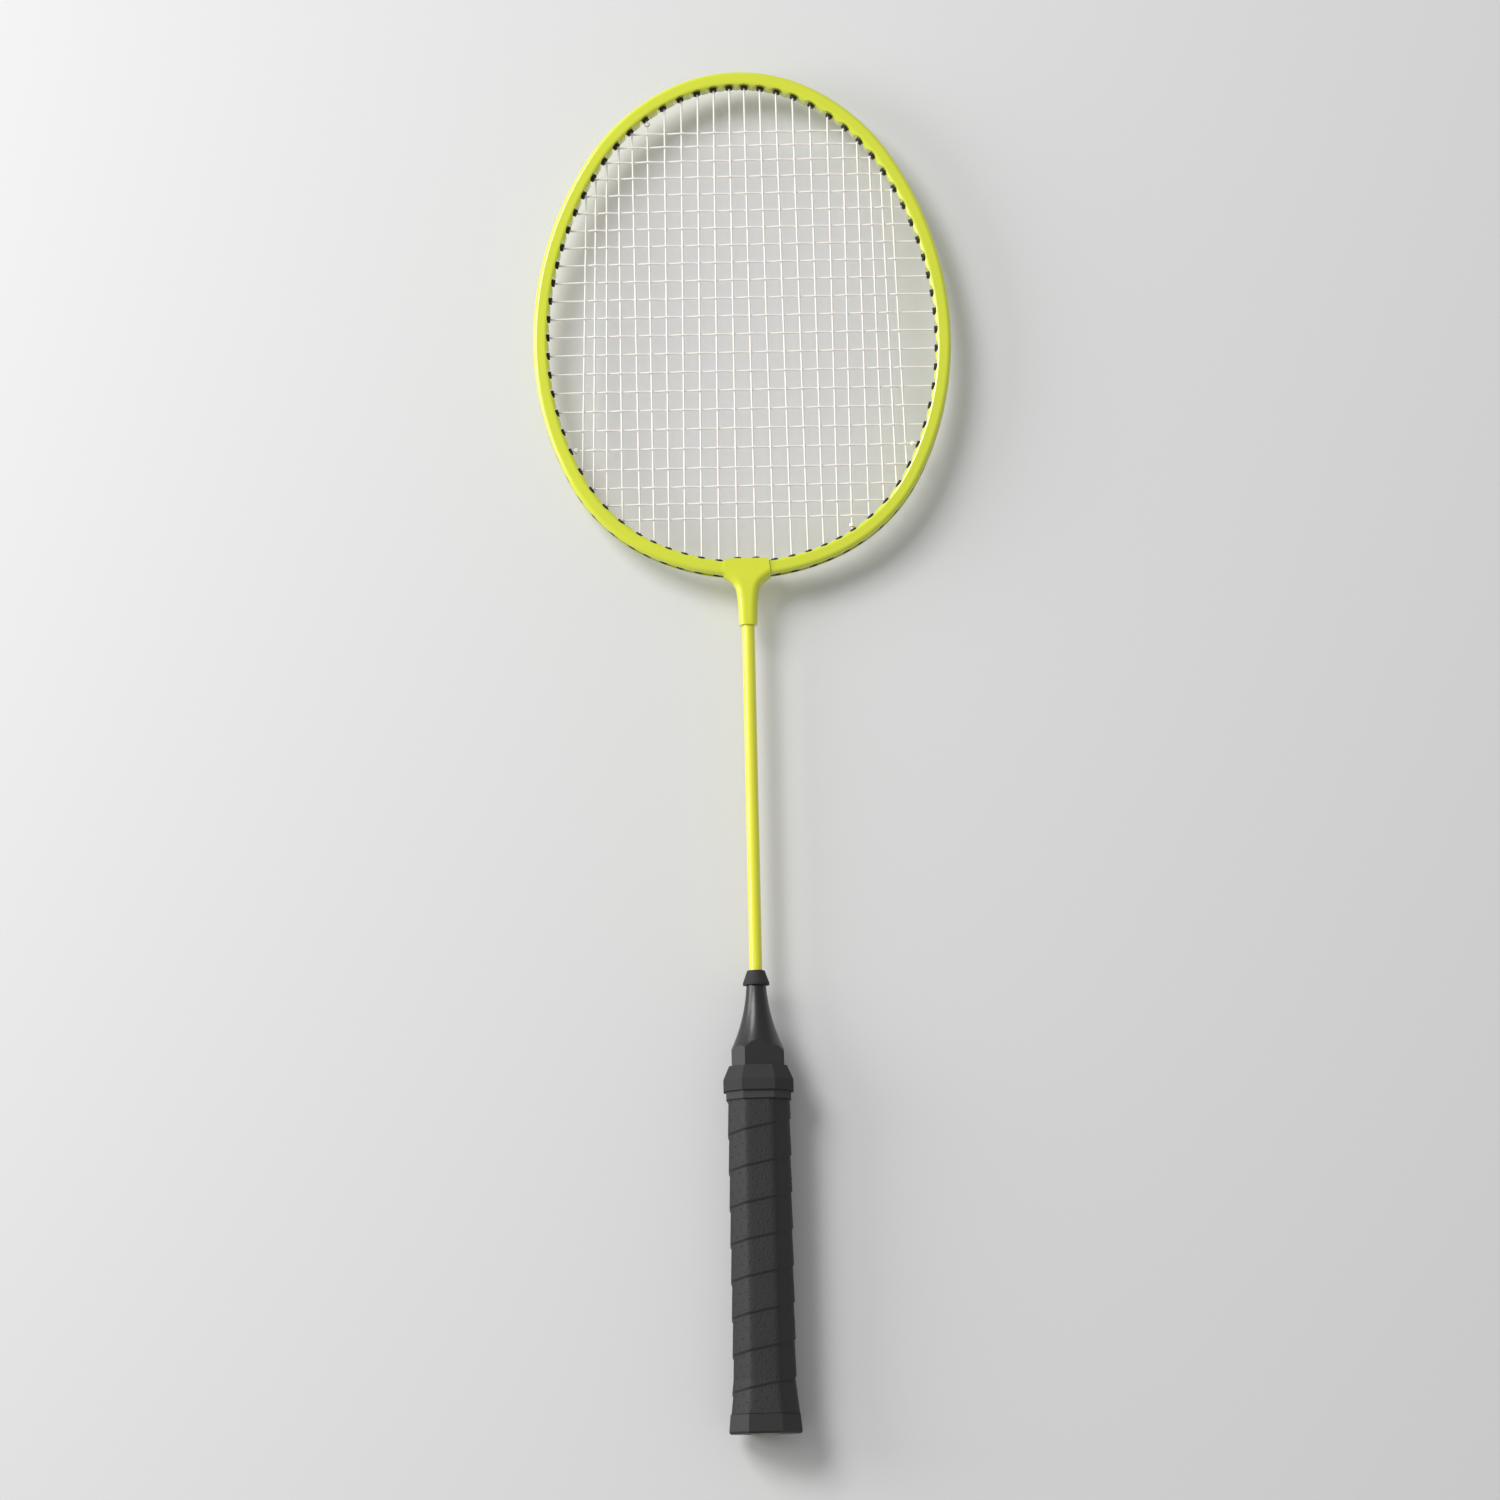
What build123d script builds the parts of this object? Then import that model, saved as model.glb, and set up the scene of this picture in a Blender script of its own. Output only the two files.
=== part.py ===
"""Badminton racket, lying flat: strings in the XY plane, butt end on Y = 0, head towards +Y."""
from build123d import *
import math
import os

os.makedirs("parts", exist_ok=True)

# ---------------------------------------------------------------- driving sizes, in mm
# whole racket
overall_length = 667.0

# head, outside of the frame tube
head_width = 205.0
head_length = 255.5
upper_share = 0.539          # part of the head's length that lies above its widest place
crown_sweep = 27.0           # turn of the arc at the very top, degrees from the axis
shoulder_sweep = 57.0        # where the shoulder arc ends
shoulder_radius = 97.0
heel_sweep = 26.0            # turn of the arc at the throat
jaw_sweep = 62.0             # where the lower corner arc ends
jaw_radius = 81.5

# frame tube
tube_width = 7.6             # in the string plane
tube_depth = 9.6             # across the string plane
tube_corner = 2.2
tube_wall = 0.7
cavity_corner = 0.7
inner_wall_thickness = 1.8   # on the string side, where it is pressed in at each hole
groove_side = 0.15           # beside the widest grommet head
groove_cover = 0.2           # string run below the tube's outer face
dimple_half_width = 3.6      # along the tube
dimple_depth = 1.2

# strings
string_diameter = 0.95
string_gap = 0.03            # between a main and the cross that passes it
bend_inside = 0.475          # inside radius of a string's bend at a grommet
run_clearance = 0.15         # string above the grommet heads it runs over
mains_per_half = 11
cross_count = 23
top_single_mains = 6
bottom_single_mains = 7
side_single_crosses = 14
top_main_start = 3.7
top_main_pitch = 7.75
top_main_growth = 0.11
bottom_main_start = 4.5
bottom_main_pitch = 9.2
bottom_main_growth = -0.21
side_cross_start = 62.3      # below the inside of the crown
side_cross_pitch = 8.73
side_cross_growth = 0.044
knot_turns = 2
knot_pitch = 0.74
knot_play = 0.05
mouth_room = 0.6              # from a grommet's mouth to the corner of the string's bend
bend_reach = 0.55            # straight given up on each side of a mouth bend

# grommets
string_room = 0.135          # between a string and the bore it shares
grommet_wall = 0.7
grommet_head_rim = 0.4       # head beyond the barrel
grommet_head_height = 0.6    # under the string that runs over it
grommet_reach = 0.4          # past the tube's inner wall
throat_reach = 2.2           # the two beside the axis also pass the cover's skin
shared_extra = 0.3           # shared holes take a wider grommet
grommet_clearance = 0.03

# throat
cover_half_width = 11.0      # on the tube's centre line, from the axis to each end
cover_skin = 0.75
cover_clearance = 0.05
cover_length = 32.3          # from the cover's inner edge to the end of its stem
cover_stem_wall = 1.05
cover_edge_round = 3.6       # front and back edges
cover_stations = 5           # places that fix the side's curve between head and stem's end
cover_flare = 4.7            # quick concave flare under the cover's head, each side
cover_flare_fade = 2.0
cover_taper = 2.2            # slow taper down the stem, each side
cover_taper_fade = 10.0
core_overhang = 0.7          # core's bar past each end of the cover
core_clearance = 0.12
core_neck_diameter = 4.2
core_shank_length = 24.0
hoop_end_clearance = 0.35    # between the neck and the tube's cut ends

# shaft
shaft_diameter = 6.2
shaft_wall = 0.6
shaft_slip = 0.04            # play of a glued socket, on the radius
shaft_socket_depth = 20.0    # shaft inside the cover's stem, above the stem's end
shaft_ring_count = 4
shaft_ring_pitch = 1.0
shaft_ring_depth = 0.12
shaft_in_wood = 60.0

# handle
handle_length = 172.0        # wooden part, from the butt end
handle_width = 25.0          # in the string plane, across flats
handle_depth = 22.0
handle_bevel = 6.4
cone_length = 40.0
cone_nose_wall = 1.6
cone_band = 2.0              # full octagon before the taper starts
cone_lean = 0.62             # how far the taper leans in at its start
cone_spigot_length = 12.0
cone_spigot_diameter = 15.0
ferrule_length = 7.0
ferrule_wall = 1.1
ferrule_flange = 1.6         # past the cone's nose
pin_diameter = 2.4
pin_height = 128.0
flare_growth = 2.0           # how far the butt end's sides stand out past the straight part

# grip
underlay_thickness = 0.9
wrap_thickness = 1.5
wrap_step = 0.45             # how far an edge of the wrap stands above the turn it covers
wrap_turns = 10
grip_top = 165.0             # upper edge of the wrap
tape_length = 8.0
tape_thickness = 0.35
collar_length = 12.0
collar_overhang = 8.0        # part of the collar above the wrap
collar_thickness = 1.2

# butt
cap_thickness = 3.2
cap_skirt = 6.0
cap_edge_round = 1.2
disc_diameter = 15.0
disc_thickness = 1.2
disc_edge_round = 0.25
nail_diameter = 1.3
nail_length = 12.0
nail_head_diameter = 2.8
nail_head_height = 0.5
nail_spread = 9.9
fit_gap = 0.05

# ---------------------------------------------------------------- sizes that follow
string_radius = string_diameter / 2
layer = string_radius + string_gap / 2
bend_radius = string_radius + bend_inside
grommet_bore = 2 * (layer + string_radius + string_room)
grommet_radius = grommet_bore / 2 + grommet_wall
shared_radius = grommet_radius + shared_extra / 2
groove_width = 2 * (shared_radius + grommet_head_rim + groove_side)
grommet_rim_height = run_clearance + string_diameter
groove_depth = grommet_head_height + grommet_rim_height + groove_cover
hoop_end_gap = core_neck_diameter / 2 + hoop_end_clearance
cover_stem_diameter = shaft_diameter + 2 * (shaft_slip + cover_stem_wall)

# ---------------------------------------------------------------- frame oval
# The centre line of the tube is six tangent arcs a side, turning 180 degrees from crown to throat.
half_width = head_width / 2 - tube_width / 2
line_length = head_length - tube_width
upper_length = line_length * upper_share
lower_length = line_length - upper_length
crown_y = overall_length - tube_width / 2
throat_y = crown_y - line_length


def outer_radii(reach, drop, first, second, middle):
    """Radii of the end arc and the side arc of a quarter of the oval round a given middle arc."""
    s1, c1 = math.sin(math.radians(first)), math.cos(math.radians(first))
    s2, c2 = math.sin(math.radians(second)), math.cos(math.radians(second))
    across = reach - middle * (s2 - s1)
    along = drop - middle * (c1 - c2)
    size = s1 * c2 - (1 - s2) * (1 - c1)
    end = (across * c2 - (1 - s2) * along) / size
    side = (s1 * along - (1 - c1) * across) / size
    return end, side


crown_radius, upper_side_radius = outer_radii(
    half_width, upper_length, crown_sweep, shoulder_sweep, shoulder_radius)
heel_radius, lower_side_radius = outer_radii(
    half_width, lower_length, heel_sweep, jaw_sweep, jaw_radius)
arc_radii = [crown_radius, shoulder_radius, upper_side_radius,
             lower_side_radius, jaw_radius, heel_radius]
arc_turns = [0.0, crown_sweep, shoulder_sweep, 90.0,
             180.0 - jaw_sweep, 180.0 - heel_sweep, 180.0]

arc_centres = []
walk = Vector(0, crown_y)
for radius, start, end in zip(arc_radii, arc_turns, arc_turns[1:]):
    outward = Vector(math.sin(math.radians(start)), math.cos(math.radians(start)))
    centre = walk - outward * radius
    arc_centres.append(centre)
    outward = Vector(math.sin(math.radians(end)), math.cos(math.radians(end)))
    walk = centre + outward * radius


def oval(turn, offset=0.0):
    """Point of the right half's centre line at a turn from the crown, moved outwards by offset."""
    for index in range(len(arc_radii)):
        if turn <= arc_turns[index + 1] or index == len(arc_radii) - 1:
            break
    outward = Vector(math.sin(math.radians(turn)), math.cos(math.radians(turn)))
    return arc_centres[index] + outward * (arc_radii[index] + offset)


def turn_at(value, low, high):
    """Turn in low..high at which the oval's measure first reaches zero."""
    rising = value(high) > value(low)
    for _ in range(60):
        middle = (low + high) / 2
        if (value(middle) > 0) == rising:
            high = middle
        else:
            low = middle
    return (low + high) / 2


# String holes of the right half, as turns from the crown. Where a main and a cross end side by
# side in a corner they share one hole; between the single holes the shared ones are spaced evenly.
inside = -tube_width / 2
top_turns = []
for number in range(top_single_mains):
    across = top_main_start + top_main_pitch * number + top_main_growth * number ** 2
    top_turns.append(turn_at(lambda t: oval(t, inside).X - across, 0.0, 90.0))
side_turns = []
for number in range(side_single_crosses):
    drop = side_cross_start + side_cross_pitch * number + side_cross_growth * number ** 2
    level = crown_y + inside - drop
    side_turns.append(turn_at(lambda t: level - oval(t, inside).Y, 0.0, 180.0))
bottom_turns = []
for number in range(bottom_single_mains):
    across = bottom_main_start + bottom_main_pitch * number + bottom_main_growth * number ** 2
    bottom_turns.append(turn_at(lambda t: across - oval(t, inside).X, 90.0, 180.0))


def shared_turns(first, last, count):
    """Turns of the shared holes, evenly spaced along the oval between two single holes."""
    steps = 400
    turns = [first + (last - first) * k / steps for k in range(steps + 1)]
    lengths = [0.0]
    for k in range(steps):
        lengths.append(lengths[-1] + (oval(turns[k + 1]) - oval(turns[k])).length)
    found = []
    for number in range(1, count + 1):
        wanted = lengths[-1] * number / (count + 1)
        found.append(next(t for t, run in zip(turns, lengths) if run >= wanted))
    return found


upper_shared = shared_turns(top_turns[-1], side_turns[0], mains_per_half - top_single_mains)
lower_shared = shared_turns(side_turns[-1], bottom_turns[-1], mains_per_half - bottom_single_mains)
hole_turns = top_turns + upper_shared + side_turns + lower_shared + bottom_turns[::-1]
shared_set = upper_shared + lower_shared
throat_set = bottom_turns[:1]
single_set = [t for t in hole_turns if t not in shared_set + throat_set]

# Holes of main number 1 (next to the axis) to the outermost, and of the crosses from the crown.
main_tops = top_turns + upper_shared
main_bottoms = bottom_turns + lower_shared[::-1]
cross_ends = upper_shared + side_turns + lower_shared


def hole_plane(turn, side):
    """Plane at the centre line with X out of the head and Z along the racket's face normal."""
    place = oval(turn)
    outward = Vector(side * math.sin(math.radians(turn)), math.cos(math.radians(turn)), 0)
    return Plane(origin=(side * place.X, place.Y, 0), x_dir=outward, z_dir=(0, 0, 1))


# Tube seen square to its run: x is outwards, y is the racket's thickness.
groove_floor = tube_width / 2 - groove_depth
cavity_low = inner_wall_thickness - tube_width / 2
cavity_high = groove_floor - tube_wall
cavity_width = cavity_high - cavity_low
cavity_depth = tube_depth - 2 * tube_wall

# The tube is open at the throat, where its two ends meet the cast core.
end_turn = turn_at(lambda t: hoop_end_gap - oval(t).X, 90.0, 180.0)
tool_reach = 2 * tube_width
sides = (1, -1)
from_base = (Align.CENTER, Align.CENTER, Align.MIN)


def tube_section(centre, radius, facing):
    """Plane square to the tube at a point of one arc, X outwards and Y along the face normal."""
    return Plane(origin=centre + facing * radius, x_dir=facing, z_dir=facing.cross(Vector(0, 0, 1)))


def facing_at(turn, side):
    """Outward direction of the tube at a turn from the crown."""
    return Vector(side * math.sin(math.radians(turn)), math.cos(math.radians(turn)))


def bore_place(turn, side):
    """Place on the centre line with Z along the string hole, outwards."""
    return hole_plane(turn, side).location * Rotation(0, 90, 0)


with BuildPart() as frame_hoop:
    for side in sides:
        spans = list(zip(arc_radii, arc_centres, arc_turns, arc_turns[1:-1] + [end_turn]))
        for radius, centre, start, end in spans:
            middle = Vector(side * centre.X, centre.Y)
            with BuildSketch(tube_section(middle, radius, facing_at(start, side))):
                RectangleRounded(tube_width, tube_depth, tube_corner)
                with Locations((groove_floor + groove_depth, 0)):
                    Rectangle(2 * groove_depth, groove_width, mode=Mode.SUBTRACT)
                with Locations(((cavity_low + cavity_high) / 2, 0)):
                    RectangleRounded(cavity_width, cavity_depth, cavity_corner, mode=Mode.SUBTRACT)
            revolve(axis=Axis(origin=middle, direction=(0, 0, -side)), revolution_arc=end - start)
    # string holes, right through the tube along its outward normal
    plain_holes = [bore_place(t, side) for side in sides for t in hole_turns if t not in shared_set]
    wide_holes = [bore_place(t, side) for side in sides for t in shared_set]
    with Locations(*plain_holes):
        Cylinder(grommet_radius + grommet_clearance, tool_reach, mode=Mode.SUBTRACT)
    with Locations(*wide_holes):
        Cylinder(shared_radius + grommet_clearance, tool_reach, mode=Mode.SUBTRACT)
    # the inner wall is pressed in at each hole, which scallops the edge seen from the front
    press_radius = (dimple_half_width ** 2 + dimple_depth ** 2) / (2 * dimple_depth)
    press_offset = dimple_depth - tube_width / 2 - press_radius
    presses = [hole_plane(t, side).location * Pos(press_offset, 0, 0)
               for side in sides for t in hole_turns]
    with Locations(*presses):
        Cylinder(press_radius, 2 * tube_depth, mode=Mode.SUBTRACT)
frame_hoop.part.label = "frame_hoop"
export_step(frame_hoop.part, "parts/frame_hoop.step")

# ---------------------------------------------------------------- grommets
inner_wall = -tube_width / 2


def grommet_set(places, barrel_radius, reach):
    """Flanged nylon tubes in the given string holes; each head is a saddle for the string."""
    head_height = grommet_head_height + grommet_rim_height
    with Locations(*[place * Pos(0, 0, inner_wall - reach) for place in places]):
        Cylinder(barrel_radius, reach - inner_wall + groove_floor + grommet_head_height, align=from_base)
    with Locations(*[place * Pos(0, 0, groove_floor) for place in places]):
        Cylinder(barrel_radius + grommet_head_rim, head_height, align=from_base)
    with Locations(*[place * Pos(0, 0, groove_floor + grommet_head_height) for place in places]):
        Box(grommet_bore, 2 * groove_width, 2 * grommet_rim_height, align=from_base,
            mode=Mode.SUBTRACT)
    with Locations(*places):
        Cylinder(barrel_radius - grommet_wall, 2 * tool_reach, mode=Mode.SUBTRACT)


single_places = [bore_place(t, side) for side in sides for t in single_set]
shared_places = [bore_place(t, side) for side in sides for t in shared_set]
throat_places = [bore_place(t, side) for side in sides for t in throat_set]
with BuildPart() as grommets_single:
    grommet_set(single_places, grommet_radius, grommet_reach)
grommets_single.part.label = "grommets_single"
export_step(grommets_single.part, "parts/grommets_single.step")

with BuildPart() as grommets_shared:
    grommet_set(shared_places, shared_radius, grommet_reach)
grommets_shared.part.label = "grommets_shared"
export_step(grommets_shared.part, "parts/grommets_shared.step")

with BuildPart() as grommets_throat:
    grommet_set(throat_places, grommet_radius, throat_reach)
grommets_throat.part.label = "grommets_throat"
export_step(grommets_throat.part, "parts/grommets_throat.step")

# ---------------------------------------------------------------- strings
# Mains lie above the string plane and crosses below it, so they pass without meeting.
run_offset = groove_floor + grommet_head_height + run_clearance + string_radius
mouth_offset = inner_wall - grommet_reach - mouth_room


def hole_point(turn, side, offset, height):
    """Point of a string hole's axis, offset outwards from the centre line, at a string layer."""
    place = oval(turn, offset)
    return Vector(side * place.X, place.Y, height)


def string_corners(runs, height):
    """Corners of a string that visits the given runs, each from hole to hole, in order."""
    corners = []
    for first, last in runs:
        corners.append((hole_point(*first, run_offset, height), bend_radius))
        corners.append((hole_point(*first, mouth_offset, height), None))
        corners.append((hole_point(*last, mouth_offset, height), None))
        corners.append((hole_point(*last, run_offset, height), bend_radius))
    return corners


def lay_string(corners):
    """Straight runs joined by tangent arcs; a corner has its own radius or takes bend_reach."""
    here = corners[0][0]
    for index in range(1, len(corners) - 1):
        corner, radius = corners[index]
        before = (corner - corners[index - 1][0]).normalized()
        after = (corners[index + 1][0] - corner).normalized()
        half = before.get_angle(after) / 2
        slope = math.tan(math.radians(half))
        reach = bend_reach if radius is None else radius * slope
        arc_radius = reach / slope
        start = corner - before * reach
        end = corner + after * reach
        bisector = (after - before).normalized()
        centre = corner + bisector * (arc_radius / math.cos(math.radians(half)))
        middle = centre - bisector * arc_radius
        Line(here, start)
        ThreePointArc(start, middle, end)
        here = end
    Line(here, corners[-1][0])


def tie_off(corners, tie, host, height):
    """Take a string's end through the next hole and lay it along the string that it ties to."""
    mouth = hole_point(*tie, mouth_offset, height)
    away = (hole_point(*host, mouth_offset, height) - mouth).normalized()
    corners.append((hole_point(*tie, run_offset, height), bend_radius))
    corners.append((mouth, None))
    tail = bend_reach + string_radius + knot_pitch * knot_turns
    corners.append((mouth + away * tail, None))
    knots = []
    for number in range(knot_turns):
        spot = mouth + away * (bend_reach + string_radius + knot_pitch * number)
        knots.append(Plane(origin=Vector(spot.X, spot.Y, -height), z_dir=away))
    return knots


# mains: two down-and-up halves that start from the loop over the crown
main_order = [-number for number in range(mains_per_half, 0, -1)]
main_order += [number for number in range(1, mains_per_half + 1)]
main_runs = []
for position, number in enumerate(main_order):
    side = 1 if number > 0 else -1
    top = (main_tops[abs(number) - 1], side)
    bottom = (main_bottoms[abs(number) - 1], side)
    main_runs.append((bottom, top) if position % 2 == 0 else (top, bottom))
main_corners = string_corners(main_runs, layer)
main_tie = cross_ends[-mains_per_half + bottom_single_mains - 1]
start_corners = []
main_knots = tie_off(start_corners, (main_tie, -1), (main_tie, 1), layer)
main_knots += tie_off(main_corners, (main_tie, 1), (main_tie, -1), layer)
main_corners = start_corners[::-1] + main_corners

cross_runs = []
for number, turn in enumerate(cross_ends):
    side = -1 if number % 2 == 0 else 1
    cross_runs.append(((turn, side), (turn, -side)))
cross_corners = string_corners(cross_runs, -layer)
start_corners = []
crown_tie = top_turns[-1]
heel_tie = bottom_turns[-1]
cross_knots = tie_off(start_corners, (crown_tie, -1), (main_bottoms[top_single_mains - 1], -1), -layer)
cross_knots += tie_off(cross_corners, (heel_tie, 1), (main_tops[bottom_single_mains - 1], 1), -layer)
cross_corners = start_corners[::-1] + cross_corners

with BuildPart() as main_string:
    with BuildLine() as main_route:
        lay_string(main_corners)
    with BuildSketch(Plane(origin=main_route.line @ 0, z_dir=main_route.line % 0)):
        Circle(string_radius)
    sweep(path=main_route.line)
    with Locations(*[plane.location for plane in main_knots]):
        Torus(2 * string_radius + knot_play, string_radius)
main_string.part.label = "main_string"
export_step(main_string.part, "parts/main_string.step")

with BuildPart() as cross_string:
    with BuildLine() as cross_route:
        lay_string(cross_corners)
    with BuildSketch(Plane(origin=cross_route.line @ 0, z_dir=cross_route.line % 0)):
        Circle(string_radius)
    sweep(path=cross_route.line)
    with Locations(*[plane.location for plane in cross_knots]):
        Torus(2 * string_radius + knot_play, string_radius)
cross_string.part.label = "cross_string"
export_step(cross_string.part, "parts/cross_string.step")

# ---------------------------------------------------------------- throat
heel_centre = arc_centres[-1]
cover_half_sweep = math.degrees(math.asin(cover_half_width / heel_radius))
core_half_sweep = math.degrees(math.asin((cover_half_width + core_overhang) / heel_radius))
skin = cover_skin + cover_clearance
cover_top = throat_y + tube_width / 2 + skin
cover_under = throat_y - tube_width / 2 - skin
stem_end = cover_top - cover_length
shaft_top = stem_end + shaft_socket_depth
shaft_hole_radius = shaft_diameter / 2 + shaft_slip


def throat_arc(half_sweep):
    """Plane and axis for turning a section along the throat arc, half_sweep each way."""
    start = tube_section(heel_centre, heel_radius, facing_at(180.0 - half_sweep, 1))
    return start, Axis(origin=heel_centre, direction=(0, 0, -1))


def cover_side(drop):
    """Half width of the cover's stem at a drop below the head's underside."""
    flare = cover_flare * math.exp(-drop / cover_flare_fade)
    taper = cover_taper * math.exp(-drop / cover_taper_fade)
    return cover_stem_diameter / 2 + flare + taper


def cover_corner(side, turn, offset):
    """Point of the cover's outline on the throat arc, offset from the tube's centre line."""
    point = heel_centre + facing_at(turn, side) * (heel_radius + offset)
    return (point.X, point.Y)


with BuildPart() as throat_cover:
    # T-shaped outline: the head follows the throat arc, the sides sweep down into the stem
    half_depth = tube_depth / 2 + skin
    head_half = tube_width / 2 + skin
    end_turn_cover = 180.0 - cover_half_sweep
    stem_reach = cover_under - stem_end
    stations = [stem_reach * (k / cover_stations) ** 2 for k in range(1, cover_stations + 1)]
    with BuildSketch(Plane.XY.offset(-half_depth)) as outline:
        with BuildLine():
            for side in sides:
                low_corner = cover_corner(side, end_turn_cover, head_half)
                Line(cover_corner(side, end_turn_cover, -head_half), low_corner)
                Spline(low_corner, *[(side * cover_side(d), cover_under - d) for d in stations])
            ThreePointArc(cover_corner(1, end_turn_cover, -head_half), (0, cover_top),
                          cover_corner(-1, end_turn_cover, -head_half))
            Line((cover_side(stem_reach), stem_end), (-cover_side(stem_reach), stem_end))
        make_face()
    extrude(amount=2 * half_depth)
    # seen from the side, the depth falls in a shallow arc from the head to the stem's end
    fall = half_depth - cover_stem_diameter / 2
    with BuildSketch(Plane.YZ):
        with BuildLine():
            for face in sides:
                Line((cover_top, 0), (cover_top, face * half_depth))
                Line((cover_top, face * half_depth), (cover_under, face * half_depth))
                TangentArc((cover_under, face * half_depth), (stem_end, face * (half_depth - fall)),
                           tangent=(-1, 0))
                Line((stem_end, face * (half_depth - fall)), (stem_end, 0))
        make_face()
    extrude(amount=2 * head_width, both=True, mode=Mode.INTERSECT)
    fillet(throat_cover.edges().filter_by(GeomType.LINE, reverse=True), cover_edge_round)
    section, spin = throat_arc(cover_half_sweep)
    # socket for the tube's two ends
    with BuildSketch(section):
        RectangleRounded(tube_width + 2 * cover_clearance, tube_depth + 2 * cover_clearance,
                         tube_corner + cover_clearance)
    revolve(axis=spin, revolution_arc=2 * cover_half_sweep, mode=Mode.SUBTRACT)
    # bore for the shaft, and above it for the core's neck
    with Locations(Plane(origin=(0, stem_end, 0), z_dir=(0, 1, 0)).location):
        Cylinder(shaft_hole_radius, shaft_socket_depth + shaft_slip, align=from_base, mode=Mode.SUBTRACT)
        Cylinder(core_neck_diameter / 2 + core_clearance, cover_top - stem_end - tube_width,
                 align=from_base, mode=Mode.SUBTRACT)
    with Locations(*throat_places):
        Cylinder(grommet_radius + grommet_clearance, tool_reach, mode=Mode.SUBTRACT)
throat_cover.part.label = "throat_cover"
export_step(throat_cover.part, "parts/throat_cover.step")

# cast T inside: a bar in the tube's cavity, a neck between its ends, a shank in the shaft
shank_radius = shaft_diameter / 2 - shaft_wall - shaft_slip
with BuildPart() as throat_core:
    section, spin = throat_arc(core_half_sweep)
    bar_width = cavity_width - 2 * core_clearance
    with BuildSketch(section):
        with Locations(((cavity_low + cavity_high) / 2, 0)):
            RectangleRounded(bar_width, cavity_depth - 2 * core_clearance, cavity_corner)
    revolve(axis=spin, revolution_arc=2 * core_half_sweep)
    neck_top = throat_y - (cavity_low + cavity_high) / 2
    with Locations(Plane(origin=(0, shaft_top - core_shank_length, 0), z_dir=(0, 1, 0)).location):
        Cylinder(shank_radius, core_shank_length, align=from_base)
        Cylinder(core_neck_diameter / 2, neck_top - shaft_top + core_shank_length, align=from_base)
    with Locations(*throat_places):
        Cylinder(grommet_radius + grommet_clearance, tool_reach, mode=Mode.SUBTRACT)
throat_core.part.label = "throat_core"
export_step(throat_core.part, "parts/throat_core.step")

# ---------------------------------------------------------------- shaft
shaft_bottom = handle_length - shaft_in_wood
bore_radius = shaft_diameter / 2 - shaft_wall
with BuildPart() as shaft:
    with BuildSketch(Plane(origin=(0, shaft_bottom, 0), z_dir=(0, 1, 0))):
        Circle(shaft_diameter / 2)
        Circle(bore_radius, mode=Mode.SUBTRACT)
    extrude(amount=shaft_top - shaft_bottom)
    # fine rolled rings just below the cover
    ring_planes = []
    for number in range(shaft_ring_count):
        ring_y = stem_end - shaft_ring_pitch * (number + 1)
        ring_planes.append(Plane(origin=(0, ring_y, 0), z_dir=(0, 1, 0)).location)
    with Locations(*ring_planes):
        Torus(shaft_diameter / 2 + shaft_ring_depth, 2 * shaft_ring_depth, mode=Mode.SUBTRACT)
    with Locations(Plane(origin=(0, pin_height, 0), z_dir=(1, 0, 0)).location):
        Cylinder(pin_diameter / 2 + shaft_slip, 2 * shaft_diameter, mode=Mode.SUBTRACT)
shaft.part.label = "shaft"
export_step(shaft.part, "parts/shaft.step")

# ---------------------------------------------------------------- handle
grip_start = cap_thickness + cap_skirt
wrap_pitch = (grip_top - grip_start) / wrap_turns
flare_top = grip_start + wrap_pitch
flare_slope = flare_growth / (flare_top - cap_thickness)
flare_angle = math.degrees(math.atan(flare_slope))


def across_handle(y, toward_head=True):
    """Plane square to the handle at a height above the butt end, X across the racket."""
    if toward_head:
        return Plane(origin=(0, y, 0), x_dir=(-1, 0, 0), z_dir=(0, 1, 0))
    return Plane(origin=(0, y, 0), x_dir=(1, 0, 0), z_dir=(0, -1, 0))


def octagon(offset):
    """Handle outline with every one of its eight sides moved out by offset."""
    bevel = handle_bevel + (2 - math.sqrt(2)) * offset
    half_x = handle_width / 2 + offset
    half_y = handle_depth / 2 + offset
    corners = []
    for sx, sy in ((1, 1), (-1, 1), (-1, -1), (1, -1)):
        near = (sx * half_x, sy * (half_y - bevel))
        far = (sx * (half_x - bevel), sy * half_y)
        corners += [near, far] if sx == sy else [far, near]
    Polygon(*corners, align=None)


def growth(y):
    """How far the handle's sides stand out from their straight part at a height."""
    return max(0.0, (flare_top - y) * flare_slope)


def octagon_run(top, bottom, offset, slope=0.0, mode=Mode.ADD):
    """Octagonal length from top down to bottom, widening towards the butt end by slope."""
    with BuildSketch(across_handle(top, toward_head=False)) as outline:
        octagon(offset)
    spread = -math.degrees(math.atan(slope))
    extrude(outline.sketch, amount=top - bottom, taper=spread, mode=mode)


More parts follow.
